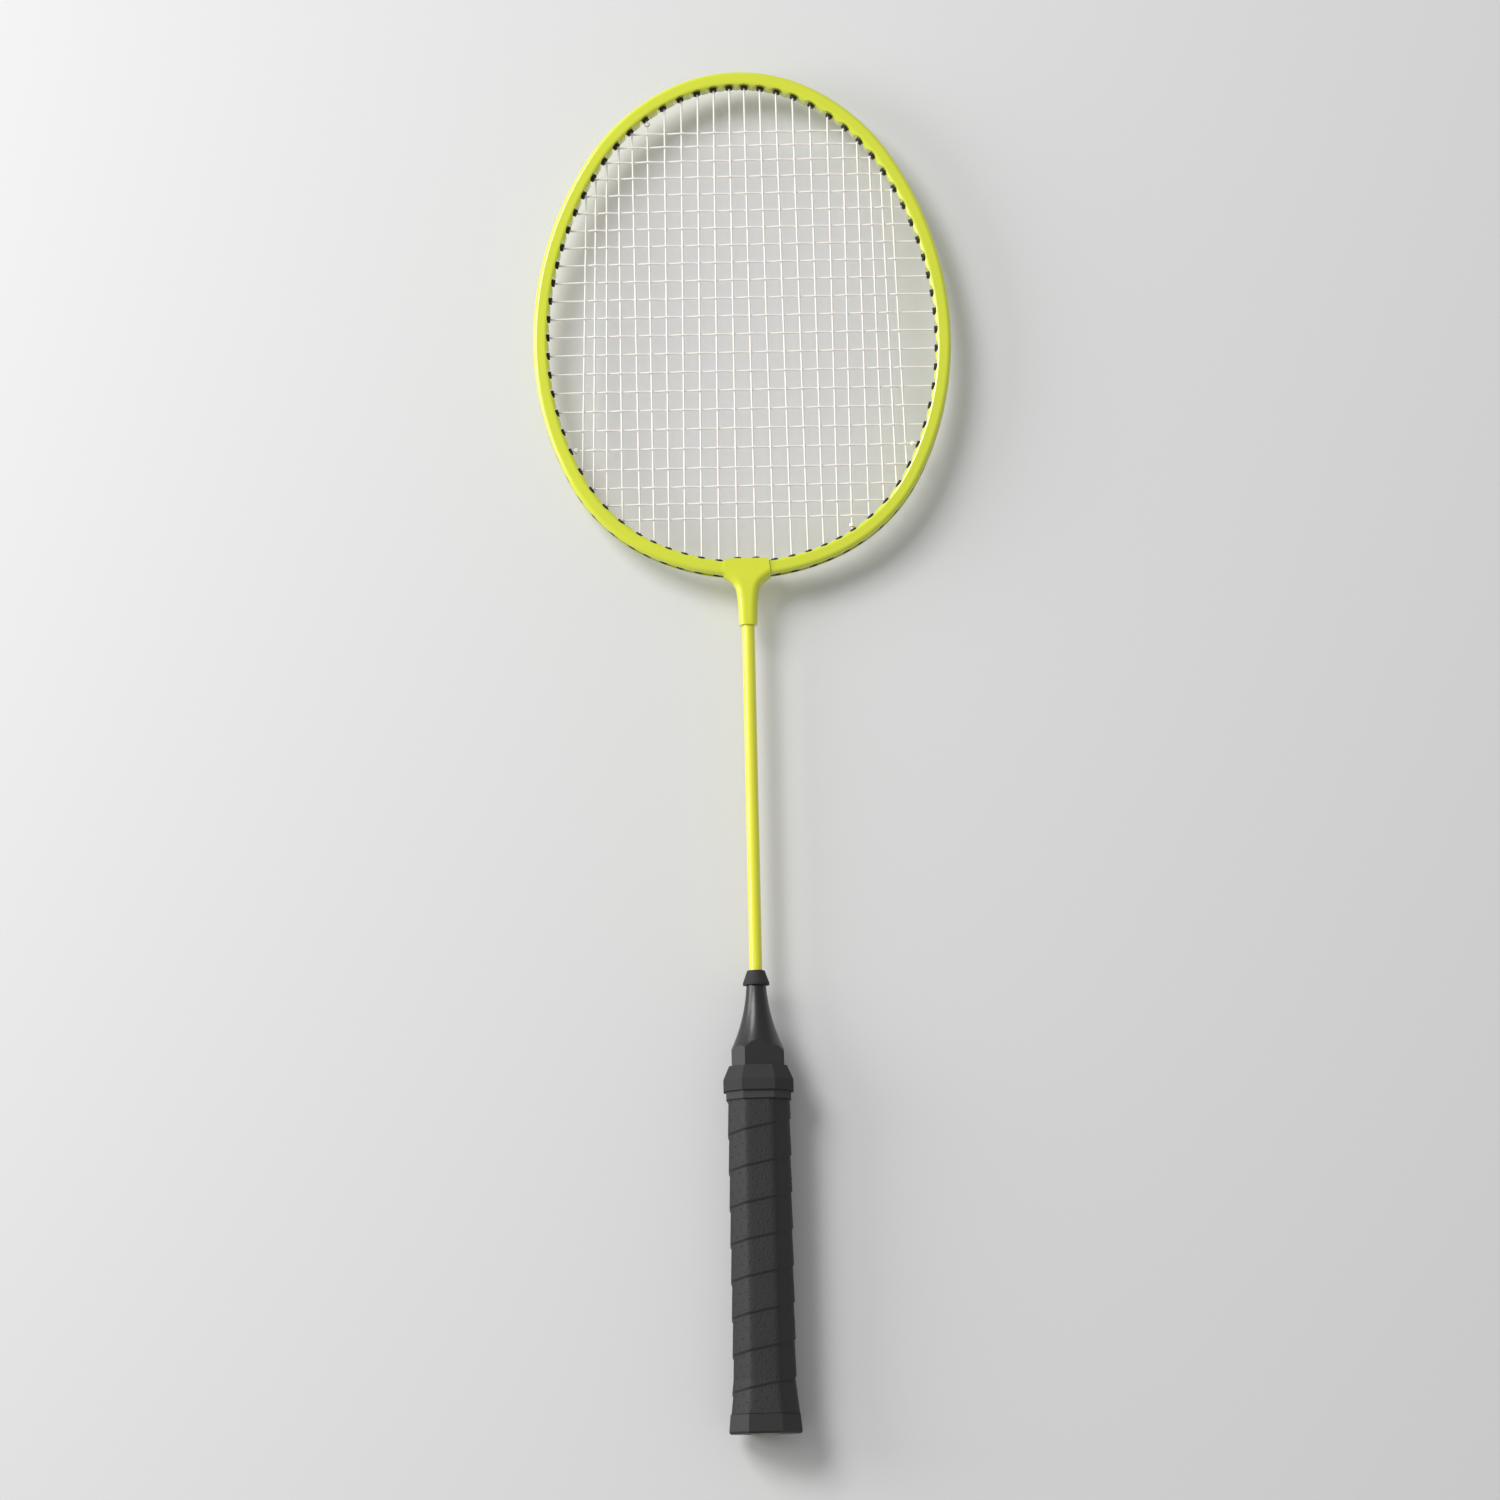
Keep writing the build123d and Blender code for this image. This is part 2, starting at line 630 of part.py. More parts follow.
with BuildPart() as handle_core:
    octagon_run(handle_length, flare_top, 0.0)
    octagon_run(flare_top, cap_thickness + fit_gap, 0.0, flare_slope)
    with Locations(across_handle(handle_length, toward_head=False).location):
        Cylinder(cone_spigot_diameter / 2 + fit_gap, cone_spigot_length + fit_gap, align=from_base,
                 mode=Mode.SUBTRACT)
        Cylinder(shaft_hole_radius, shaft_in_wood + fit_gap, align=from_base, mode=Mode.SUBTRACT)
    with Locations(Plane(origin=(0, pin_height, 0), z_dir=(1, 0, 0)).location):
        Cylinder(pin_diameter / 2 + shaft_slip, 2 * handle_width, mode=Mode.SUBTRACT)
    nail_places = [across_handle(0.0).location * Pos(side * nail_spread, 0, 0) for side in sides]
    with Locations(*nail_places):
        Cylinder(nail_diameter / 2 + shaft_slip, disc_thickness + nail_length + fit_gap, align=from_base,
                 mode=Mode.SUBTRACT)
handle_core.part.label = "handle_core"
export_step(handle_core.part, "parts/handle_core.step")

with BuildPart() as handle_pin:
    with Locations(Plane(origin=(0, pin_height, 0), z_dir=(1, 0, 0)).location):
        Cylinder(pin_diameter / 2, handle_width - 2 * fit_gap)
handle_pin.part.label = "handle_pin"
export_step(handle_pin.part, "parts/handle_pin.step")

# cone: the handle's octagon running out into a round nose, like a sharpened pencil
cone_top = handle_length + cone_length
nose_radius = shaft_hole_radius + cone_nose_wall
corner_radius = math.hypot(handle_width / 2, handle_depth / 2)
with BuildPart() as handle_cone:
    with BuildSketch(across_handle(handle_length + fit_gap)):
        octagon(0.0)
    extrude(amount=cone_length - fit_gap)
    with BuildSketch(Plane.XY):
        with BuildLine():
            Line((0, handle_length), (corner_radius, handle_length))
            Line((corner_radius, handle_length), (corner_radius, handle_length + cone_band))
            TangentArc((corner_radius, handle_length + cone_band), (nose_radius, cone_top),
                       tangent=(-cone_lean, 1))
            Line((nose_radius, cone_top), (0, cone_top))
            Line((0, cone_top), (0, handle_length))
        make_face()
    revolve(axis=Axis.Y, revolution_arc=360, mode=Mode.INTERSECT)
    with Locations(across_handle(handle_length + 2 * fit_gap, toward_head=False).location):
        Cylinder(cone_spigot_diameter / 2, cone_spigot_length + fit_gap, align=from_base)
    with Locations(across_handle(handle_length - cone_spigot_length - fit_gap).location):
        Cylinder(shaft_hole_radius, cone_spigot_length + 2 * cone_length, align=from_base,
                 mode=Mode.SUBTRACT)
handle_cone.part.label = "handle_cone"
export_step(handle_cone.part, "parts/handle_cone.step")

# soft ferrule closing the joint between the cone's nose and the shaft
ferrule_radius = nose_radius + ferrule_flange
ferrule_base = cone_top + fit_gap
ferrule_top = cone_top + ferrule_length
with BuildPart() as shaft_ferrule:
    with BuildSketch(Plane.XY):
        with BuildLine():
            Polyline((shaft_hole_radius, ferrule_base), (ferrule_radius, ferrule_base),
                     (ferrule_radius, cone_top + ferrule_wall),
                     (shaft_hole_radius + ferrule_wall, ferrule_top),
                     (shaft_hole_radius, ferrule_top), close=True)
        make_face()
    revolve(axis=Axis.Y, revolution_arc=360)
shaft_ferrule.part.label = "shaft_ferrule"
export_step(shaft_ferrule.part, "parts/shaft_ferrule.step")

# ---------------------------------------------------------------- grip
underlay_outer = fit_gap + underlay_thickness
wrap_inner = underlay_outer + fit_gap
wrap_outer = wrap_inner + wrap_thickness
with BuildPart() as grip_underlay:
    octagon_run(grip_top, flare_top, underlay_outer)
    octagon_run(flare_top, grip_start + fit_gap, underlay_outer, flare_slope)
    octagon_run(grip_top, flare_top, fit_gap, mode=Mode.SUBTRACT)
    octagon_run(flare_top, grip_start, fit_gap, flare_slope, mode=Mode.SUBTRACT)
grip_underlay.part.label = "grip_underlay"
export_step(grip_underlay.part, "parts/grip_underlay.step")

with BuildPart() as grip_wrap:
    for number in range(wrap_turns):
        bottom = grip_start + wrap_pitch * number
        top = bottom + wrap_pitch
        start = max(bottom, grip_start + fit_gap)
        slope = (growth(bottom) - growth(top) + wrap_step) / wrap_pitch
        octagon_run(top, start, wrap_outer + growth(top) - wrap_step, slope)
    octagon_run(grip_top, flare_top, wrap_inner, mode=Mode.SUBTRACT)
    octagon_run(flare_top, grip_start, wrap_inner, flare_slope, mode=Mode.SUBTRACT)
grip_wrap.part.label = "grip_wrap"
export_step(grip_wrap.part, "parts/grip_wrap.step")

tape_inner = wrap_outer + fit_gap
tape_outer = tape_inner + tape_thickness
with BuildPart() as grip_tape:
    octagon_run(grip_top, grip_top - tape_length, tape_outer)
    octagon_run(grip_top, grip_top - tape_length, tape_inner, mode=Mode.SUBTRACT)
grip_tape.part.label = "grip_tape"
export_step(grip_tape.part, "parts/grip_tape.step")

collar_inner = tape_outer + fit_gap
collar_outer = collar_inner + collar_thickness
collar_top = grip_top + collar_overhang
collar_bottom = collar_top - collar_length
shoulder = grip_top + collar_thickness
collar_fall = (collar_outer - collar_thickness - fit_gap) / (collar_top - shoulder)
with BuildPart() as grip_collar:
    octagon_run(shoulder, collar_bottom, collar_outer)
    octagon_run(collar_top, shoulder, collar_thickness + fit_gap, collar_fall)
    octagon_run(grip_top + fit_gap, collar_bottom, collar_inner, mode=Mode.SUBTRACT)
    octagon_run(collar_top, collar_bottom, fit_gap, mode=Mode.SUBTRACT)
grip_collar.part.label = "grip_collar"
export_step(grip_collar.part, "parts/grip_collar.step")

# ---------------------------------------------------------------- butt end
cap_outer = wrap_outer + growth(grip_start)
with BuildPart() as butt_cap:
    octagon_run(grip_start, 0.0, cap_outer, flare_slope)
    fillet(butt_cap.edges().group_by(Axis.Y)[0], cap_edge_round)
    octagon_run(grip_start, cap_thickness, fit_gap + growth(grip_start), flare_slope,
                mode=Mode.SUBTRACT)
    with Locations(across_handle(0.0).location):
        Cylinder(disc_diameter / 2 + fit_gap, disc_thickness + fit_gap, align=from_base,
                 mode=Mode.SUBTRACT)
    with Locations(*nail_places):
        Cylinder(nail_diameter / 2 + shaft_slip, 2 * cap_thickness, align=from_base, mode=Mode.SUBTRACT)
        Cylinder(nail_head_diameter / 2 + fit_gap, nail_head_height + fit_gap, align=from_base,
                 mode=Mode.SUBTRACT)
butt_cap.part.label = "butt_cap"
export_step(butt_cap.part, "parts/butt_cap.step")

with BuildPart() as butt_disc:
    with Locations(across_handle(0.0).location):
        Cylinder(disc_diameter / 2, disc_thickness, align=from_base)
    fillet(butt_disc.edges().group_by(Axis.Y)[0], disc_edge_round)
butt_disc.part.label = "butt_disc"
export_step(butt_disc.part, "parts/butt_disc.step")

with BuildPart() as cap_nails:
    with Locations(*nail_places):
        Cylinder(nail_head_diameter / 2, nail_head_height, align=from_base)
        Cylinder(nail_diameter / 2, nail_length, align=from_base)
cap_nails.part.label = "cap_nails"
export_step(cap_nails.part, "parts/cap_nails.step")
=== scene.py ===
# %% [markdown]
# # A badminton racket, finished in Blender
# The racket's hard parts come from CAD: a grooved oval tube, its nylon grommets, the moulded
# throat, a thin shaft and the handle. This lesson gives them their finishes, weaves the two
# strings over and under each other, and wraps the grip in a spiral. Everything is in metres, with
# the butt end on Y = 0, the head towards +Y and the string plane flat on Z = 0.

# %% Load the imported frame
import math

import bmesh
import bpy
import numpy as np
from mathutils import Matrix, Vector


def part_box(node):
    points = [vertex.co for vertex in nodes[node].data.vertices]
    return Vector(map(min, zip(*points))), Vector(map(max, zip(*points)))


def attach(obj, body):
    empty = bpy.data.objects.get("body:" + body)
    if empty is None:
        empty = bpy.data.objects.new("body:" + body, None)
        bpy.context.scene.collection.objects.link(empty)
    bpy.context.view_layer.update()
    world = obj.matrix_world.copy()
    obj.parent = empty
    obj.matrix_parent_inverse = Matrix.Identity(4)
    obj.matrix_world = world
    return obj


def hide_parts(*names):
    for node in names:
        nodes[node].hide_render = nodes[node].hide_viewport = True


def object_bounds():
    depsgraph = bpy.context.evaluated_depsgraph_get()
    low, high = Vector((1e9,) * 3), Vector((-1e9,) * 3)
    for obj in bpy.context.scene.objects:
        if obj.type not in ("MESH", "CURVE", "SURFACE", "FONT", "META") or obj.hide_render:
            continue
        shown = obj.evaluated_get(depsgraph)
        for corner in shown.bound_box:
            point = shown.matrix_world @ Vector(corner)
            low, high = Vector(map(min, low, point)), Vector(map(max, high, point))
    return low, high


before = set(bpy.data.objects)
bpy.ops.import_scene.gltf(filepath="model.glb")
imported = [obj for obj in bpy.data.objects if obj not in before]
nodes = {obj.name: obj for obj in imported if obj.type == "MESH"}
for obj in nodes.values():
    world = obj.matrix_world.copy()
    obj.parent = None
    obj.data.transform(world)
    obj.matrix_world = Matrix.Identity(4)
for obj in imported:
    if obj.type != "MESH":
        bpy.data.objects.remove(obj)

cad_low, cad_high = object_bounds()
MM = 0.001
print("frame loaded:", len(nodes), "nodes, box", [round(v, 4) for v in (*cad_low, *cad_high)])

# %% [markdown]
# ## Helpers
# A material is a small graph. Two of these helpers keep each graph to a few readable lines: one
# adds a node and sets its sockets, the other starts a node group with named inputs and outputs.
# The third puts a new object into the scene.

# %% Helpers
def add(tree, kind, **values):
    """Adds a node; a value that is a socket is linked, any other is set on the node's own socket."""
    node = tree.nodes.new(kind)
    for key, value in values.items():
        if hasattr(node, key) and key not in node.inputs:
            setattr(node, key, value)
            continue
        numbered = key[0] == "i" and key[1:].isdigit()
        socket = node.inputs[int(key[1:])] if numbered else node.inputs[key.replace("_", " ")]
        if isinstance(value, bpy.types.NodeSocket):
            tree.links.new(value, socket)
        else:
            socket.default_value = value
    return node


def new_group(name, kind, inputs, outputs):
    """A node group with float or vector inputs and outputs, given as (name, default) pairs."""
    tree = bpy.data.node_groups.new(name, kind)
    for label, default in inputs:
        kind_of = "NodeSocketVector" if isinstance(default, tuple) else "NodeSocketFloat"
        socket = tree.interface.new_socket(label, in_out="INPUT", socket_type=kind_of)
        socket.default_value = default
    for label in outputs:
        tree.interface.new_socket(label, in_out="OUTPUT", socket_type="NodeSocketFloat")
    return tree, tree.nodes.new("NodeGroupInput"), tree.nodes.new("NodeGroupOutput")


def placed(name, data):
    """A new object, linked into the scene."""
    made = bpy.data.objects.new(name, data)
    bpy.context.scene.collection.objects.link(made)
    return made


print("helpers ready")

# %% [markdown]
# ## Effects shared by the finishes
# Real surfaces are never even: mouldings and paint have a fine grain, handled parts have scuffs,
# and leathercloth and foam have pebbled cells. Each effect could be painted by hand on every part,
# but as a node group it is built once and placed in each material with its own values. The groups
# read Object coordinates, so the pattern is fixed to the racket.

# %% Shared groups: grain, scuffs, cells
SLOW_SHARE = 0.06            # scale of the slow tone against that of the grain
SCUFF_START = 0.78           # noise level above which a clean surface is scuffed
SCUFF_REACH = 0.2            # how far a full amount of wear lowers that level
SCUFF_EDGE = 14.0            # steepness of a scuff's edge
SCUFF_FRAYING = {"Roughness": 0.7, "Distortion": 0.4}


def grain_group():
    """Fine uneven surface: a height for bump and a tone for colour and gloss."""
    tree, start, end = new_group("fine_grain", "ShaderNodeTree",
                                 [("Scale", 900.0), ("Stretch", (1.0, 1.0, 1.0))], ["Height", "Tone"])
    place = add(tree, "ShaderNodeTexCoord").outputs["Object"]
    stretched = add(tree, "ShaderNodeVectorMath", operation="MULTIPLY", i0=place,
                    i1=start.outputs["Stretch"]).outputs[0]
    fine = add(tree, "ShaderNodeTexNoise", Vector=stretched, Scale=start.outputs["Scale"], Detail=3.0)
    slow_scale = add(tree, "ShaderNodeMath", operation="MULTIPLY", i0=start.outputs["Scale"],
                     i1=SLOW_SHARE)
    slow = add(tree, "ShaderNodeTexNoise", Vector=stretched, Scale=slow_scale.outputs[0], Detail=2.0)
    tree.links.new(fine.outputs["Fac"], end.inputs["Height"])
    tree.links.new(slow.outputs["Fac"], end.inputs["Tone"])
    return tree


def scuff_group():
    """Sparse short scratches and rubbed spots, 0 on clean surface and 1 on worn."""
    tree, start, end = new_group("scuffs", "ShaderNodeTree",
                                 [("Scale", 60.0), ("Amount", 0.3)], ["Mask"])
    place = add(tree, "ShaderNodeTexCoord").outputs["Object"]
    broad = add(tree, "ShaderNodeTexNoise", Vector=place, Scale=start.outputs["Scale"], Detail=4.0,
                **SCUFF_FRAYING)
    wear = add(tree, "ShaderNodeMath", operation="MULTIPLY", i0=start.outputs["Amount"],
               i1=SCUFF_REACH)
    limit = add(tree, "ShaderNodeMath", operation="SUBTRACT", i0=SCUFF_START, i1=wear.outputs[0])
    above = add(tree, "ShaderNodeMath", operation="SUBTRACT", i0=broad.outputs["Fac"],
                i1=limit.outputs[0])
    mask = add(tree, "ShaderNodeMath", operation="MULTIPLY", use_clamp=True, i0=above.outputs[0],
               i1=SCUFF_EDGE)
    tree.links.new(mask.outputs[0], end.inputs["Mask"])
    return tree


def cell_group():
    """Pebbled cells with soft walls, as on leathercloth, foam and textured mouldings."""
    tree, start, end = new_group("cells", "ShaderNodeTree", [("Scale", 900.0)], ["Height"])
    place = add(tree, "ShaderNodeTexCoord").outputs["Object"]
    cells = add(tree, "ShaderNodeTexVoronoi", feature="SMOOTH_F1", Vector=place,
                Scale=start.outputs["Scale"])
    tree.links.new(cells.outputs["Distance"], end.inputs["Height"])
    return tree


grain, scuffs, cells = grain_group(), scuff_group(), cell_group()
print("shared groups:", [g.name for g in (grain, scuffs, cells)])

# %% [markdown]
# ## One builder for the finishes
# Paint, nylon, rubber, wood and steel differ in colour, gloss and in the size of their grain, but
# are made the same way: a base colour varied by the slow tone, a roughness raised where the
# surface is scuffed, and a bump from the fine grain or from cells. So one function builds every
# plain finish, and only its values change.

# %% The finish builder
SCUFF_SCALE = 55.0
SCUFF_DULLING = 0.3          # roughness added where the surface is scuffed


def finish(name, colour, roughness, metallic=0.0, coat=0.0, grain_scale=900.0, depth=0.05,
           stretch=(1.0, 1.0, 1.0), tone=0.12, scuff=0.25, scuff_colour=None, cell_scale=None,
           bump_distance=0.0002, height=None):
    """A procedural material; height may be a function that returns another bump socket."""
    material = bpy.data.materials.new(name)
    material.use_nodes = True
    tree = material.node_tree
    shader = tree.nodes["Principled BSDF"]
    fine = add(tree, "ShaderNodeGroup", node_tree=grain, Scale=grain_scale, Stretch=stretch)
    worn = add(tree, "ShaderNodeGroup", node_tree=scuffs, Scale=SCUFF_SCALE, Amount=scuff)
    dark = tuple(c * (1 - tone) for c in colour)
    light = tuple(min(1.0, c * (1 + tone)) for c in colour)
    base = add(tree, "ShaderNodeMix", data_type="RGBA", Factor=fine.outputs["Tone"], A=(*dark, 1),
               B=(*light, 1))
    rubbed = add(tree, "ShaderNodeMix", data_type="RGBA", Factor=worn.outputs["Mask"],
                 A=base.outputs["Result"], B=(*(scuff_colour or light), 1))
    tree.links.new(rubbed.outputs["Result"], shader.inputs["Base Color"])
    gloss = add(tree, "ShaderNodeMapRange", Value=worn.outputs["Mask"])
    gloss.inputs["To Min"].default_value = roughness
    gloss.inputs["To Max"].default_value = min(1.0, roughness + SCUFF_DULLING)
    tree.links.new(gloss.outputs[0], shader.inputs["Roughness"])
    shader.inputs["Metallic"].default_value = metallic
    shader.inputs["Coat Weight"].default_value = coat
    source = fine.outputs["Height"]
    if cell_scale:
        source = add(tree, "ShaderNodeGroup", node_tree=cells, Scale=cell_scale).outputs["Height"]
    if height:
        source = height(tree)
    bump = add(tree, "ShaderNodeBump", Strength=depth, Distance=bump_distance, Height=source)
    tree.links.new(bump.outputs[0], shader.inputs["Normal"])
    return material


print("finish builder ready")

# %% [markdown]
# ## The finishes
# The tube and the throat share one yellow-green: enamel on metal and a gloss moulding. The shaft
# is set a lighter, warmer yellow: partly its own yellow paint, partly a painted reflection.
# Grommets, grip and mouldings are black. Wood and steel, hidden in the finished racket, are
# finished too, so that each part also looks right on its own.

# %% Paints, plastics, wood and steel
FRAME_GREEN = (0.66, 0.73, 0.030)          # colours are linear
THROAT_GREEN = (0.69, 0.74, 0.030)
# the shaft's colour is lighter and more yellow than the frame's: its yellow paint plus a painted
# reflection
SHAFT_YELLOW_AND_REFLECTION = (0.80, 0.79, 0.040)
BLACK = (0.012, 0.012, 0.012)
RING_SCALE, RING_WAVINESS = 160.0, 3.0
RING_STRETCH = (1.0, 0.06, 1.0)            # rings are long along the handle
THREAD_SCALE = 420.0
HOLES_PER_TURN, HOLE_ROWS = 19.0, 4.0
HOLE_PITCH = (5.0 * MM, 4.3 * MM)
HOLE_RADIUS = 0.55 * MM
HOLE_FLOOR = 0.6                           # share of the radius that lies at full depth
PEBBLE_SCALE, PEBBLE_SHARE = 1300.0, 0.3   # the share is their height against a hole's depth


def ring_height(tree):
    """Growth rings of the handle's wood."""
    place = add(tree, "ShaderNodeTexCoord").outputs["Object"]
    squeezed = add(tree, "ShaderNodeVectorMath", operation="MULTIPLY", i0=place, i1=RING_STRETCH)
    wave = add(tree, "ShaderNodeTexWave", Vector=squeezed.outputs[0], Scale=RING_SCALE,
               Distortion=RING_WAVINESS, Detail=3.0, wave_type="RINGS", rings_direction="X")
    return wave.outputs["Fac"]


def weave_height(tree):
    """Over-and-under threads of the finishing tape."""
    place = add(tree, "ShaderNodeTexCoord").outputs["Object"]
    along = add(tree, "ShaderNodeTexWave", Vector=place, Scale=THREAD_SCALE, bands_direction="Y")
    across = add(tree, "ShaderNodeTexWave", Vector=place, Scale=THREAD_SCALE, bands_direction="X")
    return add(tree, "ShaderNodeMath", operation="MULTIPLY", i0=along.outputs["Fac"],
               i1=across.outputs["Fac"]).outputs[0]


def perforated_height(tree):
    """Pebbled leathercloth with staggered rows of punched holes along the wound strip."""
    strip = add(tree, "ShaderNodeUVMap", uv_map="strip").outputs[0]
    split = add(tree, "ShaderNodeSeparateXYZ", Vector=strip)
    rows = add(tree, "ShaderNodeMath", operation="MULTIPLY", i0=split.outputs[1], i1=HOLE_ROWS)
    row = add(tree, "ShaderNodeMath", operation="FLOOR", i0=rows.outputs[0])
    along = add(tree, "ShaderNodeMath", operation="MULTIPLY", i0=split.outputs[0], i1=HOLES_PER_TURN)
    stagger = add(tree, "ShaderNodeMath", operation="MULTIPLY_ADD", i0=row.outputs[0], i1=0.5,
                  i2=along.outputs[0])
    offsets = []
    for value, pitch in zip((stagger, rows), HOLE_PITCH):
        part = add(tree, "ShaderNodeMath", operation="FRACT", i0=value.outputs[0])
        centred = add(tree, "ShaderNodeMath", operation="SUBTRACT", i0=part.outputs[0], i1=0.5)
        scaled = add(tree, "ShaderNodeMath", operation="MULTIPLY", i0=centred.outputs[0], i1=pitch)
        offsets.append(scaled.outputs[0])
    spot = add(tree, "ShaderNodeCombineXYZ", X=offsets[0], Y=offsets[1])
    reach = add(tree, "ShaderNodeVectorMath", operation="LENGTH", i0=spot.outputs[0])
    rim = add(tree, "ShaderNodeMapRange", interpolation_type="SMOOTHSTEP",
              Value=reach.outputs["Value"])
    rim.inputs["From Min"].default_value = HOLE_FLOOR * HOLE_RADIUS
    rim.inputs["From Max"].default_value = HOLE_RADIUS
    pebbles = add(tree, "ShaderNodeGroup", node_tree=cells, Scale=PEBBLE_SCALE)
    return add(tree, "ShaderNodeMath", operation="MULTIPLY_ADD", i0=pebbles.outputs["Height"],
               i1=PEBBLE_SHARE, i2=rim.outputs[0]).outputs[0]


finishes = {
    "frame_hoop": finish("frame_enamel", FRAME_GREEN, 0.24, coat=1.0, depth=0.05, tone=0.04,
                         scuff=0.15, grain_scale=700.0),
    "throat_cover": finish("throat_moulding", THROAT_GREEN, 0.30, coat=0.5, depth=0.08, tone=0.05,
                           scuff=0.2, grain_scale=1200.0),
    # the shaft's lighter, yellower colour carries a painted reflection
    "shaft": finish("shaft_enamel", SHAFT_YELLOW_AND_REFLECTION, 0.22, coat=0.6, depth=0.05, tone=0.04, scuff=0.2,
                    stretch=(1.0, 0.08, 1.0)),
    "throat_core": finish("cast_metal", (0.55, 0.56, 0.58), 0.5, metallic=1.0, depth=0.3,
                          grain_scale=1800.0),
    "grommets": finish("grommet_nylon", BLACK, 0.45, depth=0.2, grain_scale=2500.0, tone=0.3,
                       scuff_colour=(0.05, 0.05, 0.05)),
    "handle_core": finish("handle_wood", (0.50, 0.31, 0.15), 0.6, depth=0.4, tone=0.25, scuff=0.1,
                          stretch=(1.0, 0.05, 1.0), grain_scale=1500.0, height=ring_height),
    "steel": finish("plain_steel", (0.55, 0.55, 0.56), 0.3, metallic=1.0, depth=0.25,
                    stretch=(0.05, 1.0, 1.0), grain_scale=3000.0),
    "handle_cone": finish("cone_moulding", BLACK, 0.34, coat=0.15, depth=0.25, cell_scale=2600.0,
                          scuff_colour=(0.06, 0.06, 0.06)),
    "rubber": finish("black_rubber", (0.018, 0.018, 0.018), 0.7, depth=0.35, grain_scale=2200.0,
                     scuff=0.5, scuff_colour=(0.07, 0.07, 0.07)),
    "grip_underlay": finish("underlay_foam", (0.16, 0.16, 0.17), 0.95, depth=0.6, cell_scale=1600.0),
    "grip_tape": finish("tape_weave", (0.03, 0.03, 0.03), 0.6, depth=0.6, height=weave_height),
    "butt_cap": finish("cap_moulding", BLACK, 0.5, depth=0.35, cell_scale=2200.0, scuff=0.6,
                       scuff_colour=(0.08, 0.08, 0.08)),
    "butt_disc": finish("disc_gloss", FRAME_GREEN, 0.25, coat=0.4, depth=0.06, tone=0.05),
    "nylon": finish("string_nylon", (0.92, 0.87, 0.82), 0.38, depth=0.25, tone=0.04, scuff=0.1,
                    grain_scale=3000.0),
    "grip_wrap": finish("grip_leathercloth", (0.014, 0.014, 0.015), 0.62, depth=0.8,
                        height=perforated_height, bump_distance=0.0005, scuff=0.3,
                        scuff_colour=(0.03, 0.03, 0.03)),
}
shared_finish = {"grommets_single": "grommets", "grommets_shared": "grommets",
                 "grommets_throat": "grommets", "handle_pin": "steel", "cap_nails": "steel",
                 "shaft_ferrule": "rubber", "grip_collar": "rubber", "main_string": "nylon",
                 "cross_string": "nylon"}
for name, node in nodes.items():
    node.data.materials.clear()
    node.data.materials.append(finishes[shared_finish.get(name, name)])
print("finishes set on", len(nodes), "nodes")

# %% [markdown]
# ## Weaving the strings
# Mains and crosses pass over and under each other all over the bed. The CAD holds them in two flat
# layers, so the long runs are read from its mesh, and each is laid again as a line that rises
# and falls at every crossing. A curve could be drawn by hand for each run, but the rule is simple:
# main number i passes over cross number j when i + j is even.

# %% Reading the straight runs from the CAD strings
LONG_RUN = 25 * MM           # edges longer than this belong to a straight run
RUN_GAP = 2 * MM             # neighbouring runs lie further apart than this


def straight_runs(node):
    """Axis ends of each long straight run of a string node, found from its long mesh edges."""
    mesh = node.data
    points = np.empty(len(mesh.vertices) * 3)
    mesh.vertices.foreach_get("co", points)
    points = points.reshape(-1, 3)
    edges = np.empty(len(mesh.edges) * 2, dtype=np.int64)
    mesh.edges.foreach_get("vertices", edges)
    a, b = points[edges.reshape(-1, 2)[:, 0]], points[edges.reshape(-1, 2)[:, 1]]
    long = np.linalg.norm(b - a, axis=1) > LONG_RUN
    a, b = a[long], b[long]
    along = 1 if np.abs(b - a)[:, 1].mean() > np.abs(b - a)[:, 0].mean() else 0
    swap = a[:, along] > b[:, along]
    a[swap], b[swap] = b[swap], a[swap].copy()
    middles = (a + b)[:, 1 - along] / 2
    order = np.argsort(middles)
    runs, current = [], [order[0]]
    for index in order[1:]:
        if middles[index] - middles[current[-1]] > RUN_GAP:
            runs.append(current)
            current = []
        current.append(index)
    runs.append(current)
    ends = []
    for members in runs:
        first = np.unique(a[members].round(7), axis=0).mean(axis=0)
        last = np.unique(b[members].round(7), axis=0).mean(axis=0)
        ends.append((Vector(first), Vector(last)))
    return ends


mains = straight_runs(nodes["main_string"])
crosses = straight_runs(nodes["cross_string"])
low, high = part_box("main_string")
layer_height = abs(mains[0][0].z)
print(len(mains), "mains and", len(crosses), "crosses, layer height", round(layer_height / MM, 3),
      "mm, mains spread over", round((high[0] - low[0]) / MM, 1), "mm")

# %% Guide lines that rise and fall at the crossings
def crossing(a, b):
    """Share of run a at which it passes run b, seen square to the string plane."""
    (p, q), (r, s) = a, b
    d, e, f = q - p, s - r, r - p
    return (f.x * e.y - f.y * e.x) / (d.x * e.y - d.y * e.x)


def woven_guide(name, runs, others, start_sign):
    """A mesh of guide lines, one a run, with a point at each crossing and between them."""
    points, edges = [], []
    for number, run in enumerate(runs):
        shares = sorted((crossing(run, other), index) for index, other in enumerate(others)
                        if 0 < crossing(run, other) < 1 and 0 < crossing(other, run) < 1)
        line = [run[0]]
        for position, (share, index) in enumerate(shares):
            spot = run[0].lerp(run[1], share)
            spot.z = layer_height * start_sign * (1 if (number + index) % 2 == 0 else -1)
            if position:
                between = (line[-1] + spot) / 2
                between.z = 0.0
                line.append(between)
            line.append(spot)
        line.append(run[1])
        first = len(points)
        points += line
        edges += [(first + k, first + k + 1) for k in range(len(line) - 1)]
    mesh = bpy.data.meshes.new(name)
    mesh.from_pydata(points, edges, [])
    return mesh


